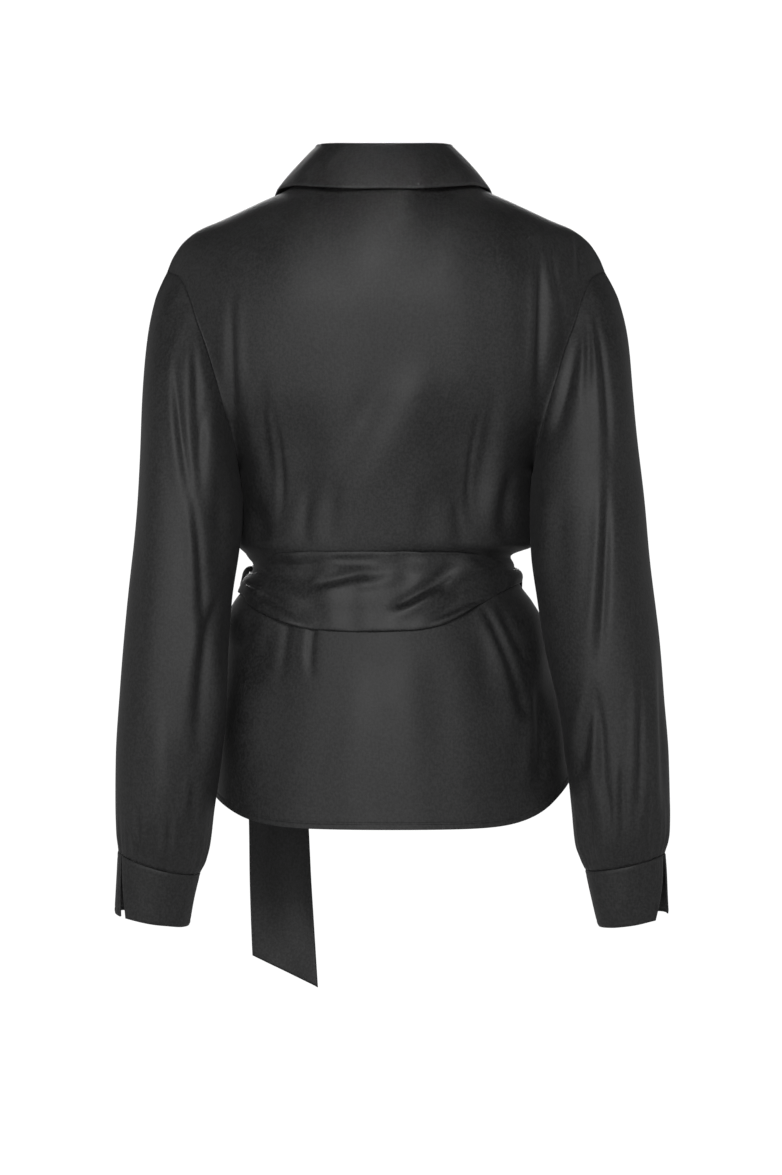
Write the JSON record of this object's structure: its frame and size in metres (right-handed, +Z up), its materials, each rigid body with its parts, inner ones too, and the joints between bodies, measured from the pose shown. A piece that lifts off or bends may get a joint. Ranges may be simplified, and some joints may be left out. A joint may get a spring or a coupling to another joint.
{
  "type": "wrap top",
  "caption": "Hollow satin wrap top in its worn form, with turned-down collar, long full sleeves gathered into slit cuffs, and a wide sash knotted at one side.",
  "frame": {"origin": "midway between the two neck points of the shoulder seams, where the wearer's shoulders or a hanger carry the top", "axes": "+Z up, +X to the wearer's left, -Y to the wearer's front"},
  "size_m": [0.534, 0.263, 0.8292],
  "materials": {
    "satin": "soft satin sheen",
    "satin_sash": "soft satin sheen"
  },
  "bodies": {
    "root": {"back": "satin", "front_left": "satin", "front_right": "satin", "collar": "satin", "sleeve_left": "satin", "sleeve_right": "satin", "cuff_left": "satin", "cuff_right": "satin", "sash_back": "satin_sash", "sash_front": "satin_sash", "sash_knot": "satin_sash", "sash_tail_long": "satin_sash", "sash_tail_short": "satin_sash"}
  },
  "joints": []
}
